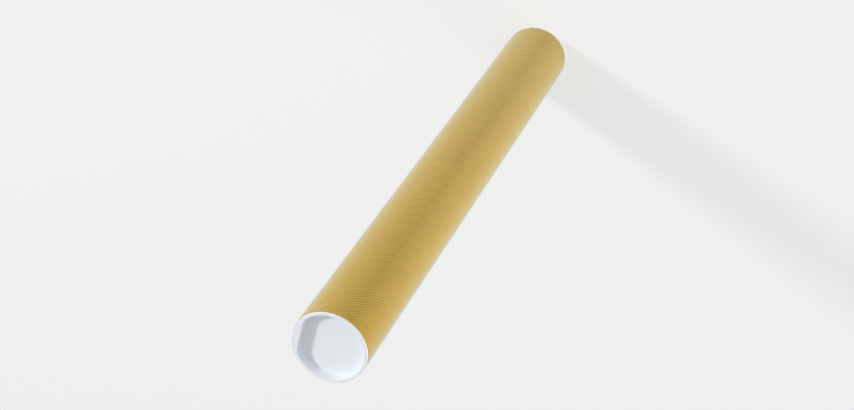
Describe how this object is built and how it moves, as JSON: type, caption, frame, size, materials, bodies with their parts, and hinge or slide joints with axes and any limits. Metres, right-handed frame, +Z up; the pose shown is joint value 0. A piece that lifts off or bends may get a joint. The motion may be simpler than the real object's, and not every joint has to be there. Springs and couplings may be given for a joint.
{
  "type": "cardboard mailing tube",
  "caption": "Brown ribbed kraft mailing tube of wound board, closed by a white push-in plastic cap at each end, for posting rolled papers.",
  "frame": {"origin": "centre of the bottom cap's flange face, on the surface that the tube stands on", "axes": "+Z up along the tube's axis, +X towards the flat side of each cap's finger recess"},
  "size_m": [0.05, 0.05, 0.4524],
  "materials": {
    "kraft_board": "brown kraft with fine slanting ribs, satin where the light grazes it",
    "cap_plastic": "white moulded polyethylene, soft satin"
  },
  "bodies": {
    "tube": {"tube": "kraft_board"},
    "bottom_cap": {"bottom_cap": "cap_plastic"},
    "top_cap": {"top_cap": "cap_plastic"}
  },
  "joints": [
    {"name": "top_cap_pull", "type": "slide", "parent": "tube", "child": "top_cap", "axis": [0, 0, 1], "range_m": [0, 0.04]},
    {"name": "bottom_cap_pull", "type": "slide", "parent": "tube", "child": "bottom_cap", "axis": [0, 0, -1], "range_m": [0, 0.04]}
  ]
}
